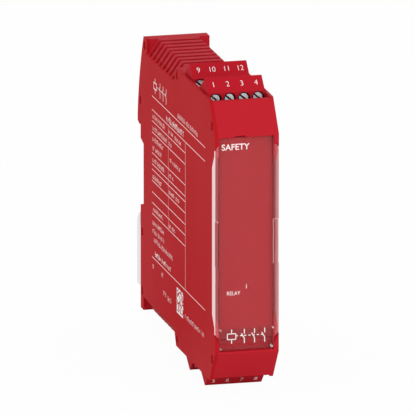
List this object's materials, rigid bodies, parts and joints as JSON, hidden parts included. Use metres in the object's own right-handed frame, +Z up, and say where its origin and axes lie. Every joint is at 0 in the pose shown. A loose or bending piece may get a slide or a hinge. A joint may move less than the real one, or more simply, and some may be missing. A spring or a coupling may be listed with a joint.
{
  "type": "safety relay",
  "caption": "Slim rail-mounted safety relay with a tapered front, vented roof and floor, a hinged clear front cover and pull-off screw terminal plugs.",
  "frame": {"origin": "front face of the mounting rail, at the middle of the rail's height and of the width", "axes": "+Y back into the rail, +Z up, +X towards the viewer's right when facing the front"},
  "size_m": [0.0226, 0.1127, 0.1088],
  "materials": {
    "red_shell": "moulded polyamide, satin",
    "red_cover": "moulded polyamide, fine grain",
    "clear_cover": "clear polycarbonate",
    "red_panel": "moulded polyamide",
    "label_film": "printed film",
    "clear_rod": "clear polycarbonate",
    "circuit_board": "solder mask on glass laminate",
    "relay_case": "moulded resin",
    "can_aluminium": "drawn can",
    "chip_resin": "moulded resin",
    "lamp_resin": "diffused resin",
    "latch_steel": "pale zinc-coated sheet",
    "spring_steel": "drawn wire",
    "red_plug": "moulded polyamide, satin",
    "plated_screw": "bright zinc plating",
    "plated_cage": "zinc plating",
    "tinned_contact": "tin plating",
    "header_resin": "moulded resin",
    "tinned_pin": "tin plating"
  },
  "bodies": {
    "housing": {"housing_shell": "red_shell", "side_cover": "red_cover", "front_panel": "red_panel", "label_sheet": "label_film", "light_guide": "clear_rod", "main_board": "circuit_board", "relay_upper": "relay_case", "relay_lower": "relay_case", "capacitors": "can_aluminium", "control_chips": "chip_resin", "status_leds": "lamp_resin", "header_top_rear": "header_resin", "header_top_front": "header_resin", "header_bottom_rear": "header_resin", "header_bottom_front": "header_resin", "header_pins_top_rear": "tinned_pin", "header_pins_top_front": "tinned_pin", "header_pins_bottom_rear": "tinned_pin", "header_pins_bottom_front": "tinned_pin"},
    "cover": {"front_cover": "clear_cover"},
    "latch": {"foot_latch": "latch_steel", "latch_spring": "spring_steel"},
    "plug_top_rear": {"plug_top_rear": "red_plug", "clamp_screws_top_rear": "plated_screw", "clamp_cages_top_rear": "plated_cage", "plug_contacts_top_rear": "tinned_contact"},
    "plug_top_front": {"plug_top_front": "red_plug", "clamp_screws_top_front": "plated_screw", "clamp_cages_top_front": "plated_cage", "plug_contacts_top_front": "tinned_contact"},
    "plug_bottom_rear": {"plug_bottom_rear": "red_plug", "clamp_screws_bottom_rear": "plated_screw", "clamp_cages_bottom_rear": "plated_cage", "plug_contacts_bottom_rear": "tinned_contact"},
    "plug_bottom_front": {"plug_bottom_front": "red_plug", "clamp_screws_bottom_front": "plated_screw", "clamp_cages_bottom_front": "plated_cage", "plug_contacts_bottom_front": "tinned_contact"}
  },
  "joints": [
    {"name": "cover_hinge", "type": "hinge", "parent": "housing", "child": "cover", "pos_m": [0, -0.1055, -0.03595], "axis": [1, 0, 0], "range_deg": [0, 95]},
    {"name": "latch_slide", "type": "slide", "parent": "housing", "child": "latch", "axis": [0, 0, -1], "range_m": [0, 0.004], "stiffness_N_per_m": 1500, "springref_m": -0.002, "deforming": ["latch_spring"]},
    {"name": "plug_pull_top_rear", "type": "slide", "parent": "housing", "child": "plug_top_rear", "axis": [0, 0, 1], "range_m": [0, 0.024]},
    {"name": "plug_pull_top_front", "type": "slide", "parent": "housing", "child": "plug_top_front", "axis": [0, 0, 1], "range_m": [0, 0.024]},
    {"name": "plug_pull_bottom_rear", "type": "slide", "parent": "housing", "child": "plug_bottom_rear", "axis": [0, 0, -1], "range_m": [0, 0.024]},
    {"name": "plug_pull_bottom_front", "type": "slide", "parent": "housing", "child": "plug_bottom_front", "axis": [0, 0, -1], "range_m": [0, 0.024]}
  ]
}
